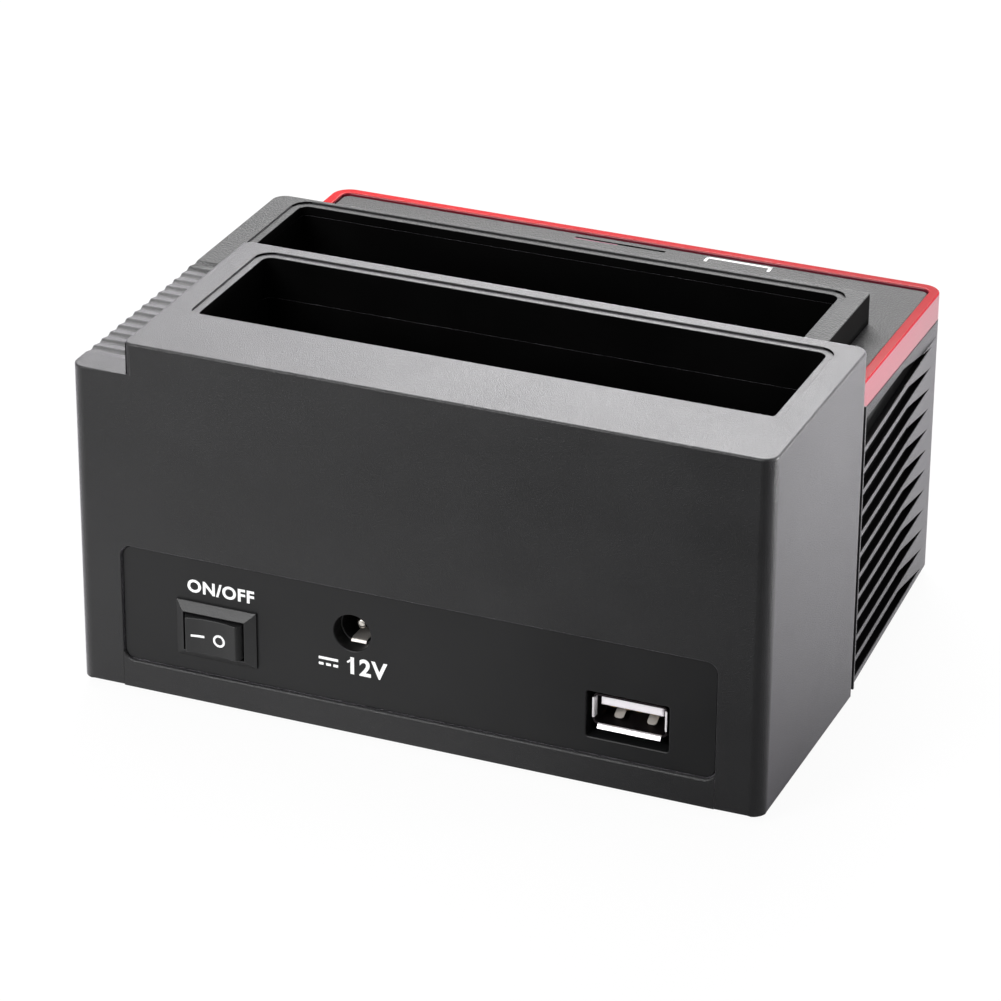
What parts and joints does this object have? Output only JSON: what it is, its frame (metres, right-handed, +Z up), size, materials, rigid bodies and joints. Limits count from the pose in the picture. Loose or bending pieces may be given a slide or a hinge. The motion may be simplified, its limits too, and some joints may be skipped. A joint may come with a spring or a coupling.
{
  "type": "hard drive docking station",
  "caption": "Desktop hard drive docking station with upright drive bays, rocker power switch, power inlet, data port, grooved sides and a clear red trim band.",
  "frame": {"origin": "on the table, under the middle of the case", "axes": "+X along the length towards the ribbed strip, +Y out of the rear port face, +Z up"},
  "size_m": [0.125, 0.1054, 0.0665],
  "materials": {
    "shell_plastic": "fine moulded texture, dark charcoal",
    "panel_plastic": "fine moulded texture, near black",
    "liner_plastic": "plain moulded black",
    "clear_red": "clear tinted red, polished",
    "switch_plastic": "smooth moulded black",
    "port_metal": "bright plated sheet",
    "tongue_plastic": "plain white",
    "contact_gold": "gold plated",
    "jack_plastic": "plain black",
    "jack_metal": "nickel plated",
    "board_laminate": "green coated laminate",
    "chip_plastic": "matt black moulding",
    "can_metal": "drawn can",
    "sleeve_plastic": "shrink sleeve",
    "ferrite": "sintered grey",
    "screw_steel": "plated steel",
    "foot_rubber": "soft black",
    "button_plastic": "moulded red",
    "plunger_plastic": "plain ivory",
    "light_plastic": "clear moulded",
    "led_plastic": "diffused",
    "lead_sleeve": "soft insulation"
  },
  "bodies": {
    "case": {"upper_shell": "shell_plastic", "front_housing": "shell_plastic", "trim_band": "clear_red", "base_tray": "shell_plastic", "rear_panel": "panel_plastic", "front_panel": "panel_plastic", "rear_bay_liner": "liner_plastic", "front_bay_liner": "liner_plastic", "main_board": "board_laminate", "rear_drive_connector": "jack_plastic", "front_drive_connector": "jack_plastic", "rear_drive_contacts": "contact_gold", "front_drive_contacts": "contact_gold", "switch_frame": "switch_plastic", "switch_terminals": "jack_metal", "switch_leads": "lead_sleeve", "dc_jack_body": "jack_plastic", "dc_jack_pin": "jack_metal", "dc_jack_contact": "jack_metal", "data_port_shell": "port_metal", "data_port_tongue": "tongue_plastic", "data_port_contacts": "contact_gold", "hub_port_shells": "port_metal", "hub_port_tongues": "tongue_plastic", "hub_port_contacts": "contact_gold", "card_socket": "port_metal", "button_switch": "chip_plastic", "light_pipes": "light_plastic", "indicator_leds": "led_plastic", "control_chip": "chip_plastic", "hub_chip": "chip_plastic", "crystal": "can_metal", "power_inductor": "ferrite", "filter_capacitors": "sleeve_plastic", "board_screws": "screw_steel", "case_screws": "screw_steel", "rubber_feet": "foot_rubber"},
    "rocker": {"switch_rocker": "switch_plastic"},
    "button": {"copy_button": "button_plastic", "button_plunger": "plunger_plastic"}
  },
  "joints": [
    {"name": "rocker_pivot", "type": "hinge", "parent": "case", "child": "rocker", "pos_m": [0.0363, 0.0496, 0.0151], "axis": [0, 0, 1], "range_deg": [-12, 12]},
    {"name": "button_press", "type": "slide", "parent": "case", "child": "button", "axis": [0, 1, 0], "range_m": [0, 0.001], "stiffness_N_per_m": 500}
  ]
}
